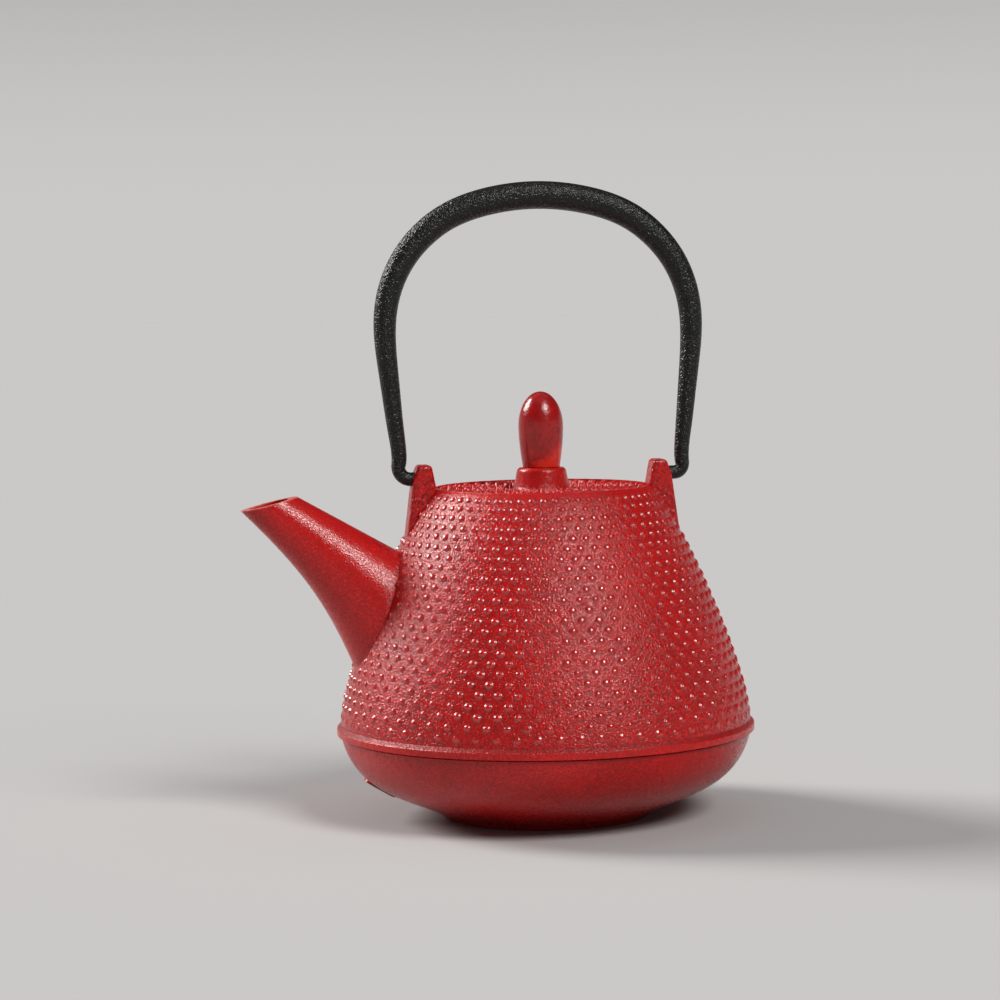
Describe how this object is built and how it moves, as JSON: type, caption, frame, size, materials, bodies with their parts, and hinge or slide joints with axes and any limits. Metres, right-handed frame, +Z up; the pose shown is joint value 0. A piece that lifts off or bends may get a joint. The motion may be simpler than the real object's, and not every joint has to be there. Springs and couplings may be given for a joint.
{
  "type": "teapot infuser",
  "caption": "Cast-iron teapot with a straight spout, a bail handle that swings, a lift-off lid with a tall knob, and a lift-out steel infuser basket hanging in the mouth.",
  "frame": {"origin": "on the pot's axis at the underside of its foot", "axes": "+Z up the pot's axis towards the lid's knob, -X towards the spout's tip, and the bail's hinge axis lies along X"},
  "size_m": [0.1829, 0.15, 0.2269],
  "materials": {
    "red_iron": "sand-cast grain under a thin semi-gloss red paint",
    "knob_iron": "smooth glossy dark red paint, slightly mottled",
    "black_iron": "grainy satin black",
    "black_enamel": "glossy black enamel",
    "steel": "satin stainless steel",
    "steel_mesh": "woven stainless steel mesh"
  },
  "bodies": {
    "pot": {"pot_casting": "red_iron", "enamel_lining": "black_enamel"},
    "handle": {"bail_handle": "black_iron"},
    "infuser": {"infuser_rim": "steel", "infuser_mesh_wall": "steel_mesh", "infuser_seam_strip": "steel", "infuser_base_ring": "steel", "infuser_mesh_floor": "steel_mesh"},
    "lid": {"lid_casting": "red_iron", "lid_knob": "knob_iron", "knob_screw": "steel", "knob_washer": "steel"}
  },
  "joints": [
    {"name": "handle_swing", "type": "hinge", "parent": "pot", "child": "handle", "pos_m": [0, 0, 0.1219], "axis": [1, 0, 0], "range_deg": [-130, 130]},
    {"name": "infuser_lift", "type": "slide", "parent": "pot", "child": "infuser", "axis": [0, 0, 1], "range_m": [0, 0.062]},
    {"name": "lid_lift", "type": "slide", "parent": "infuser", "child": "lid", "axis": [0, 0, 1], "range_m": [0, 0.062]}
  ]
}
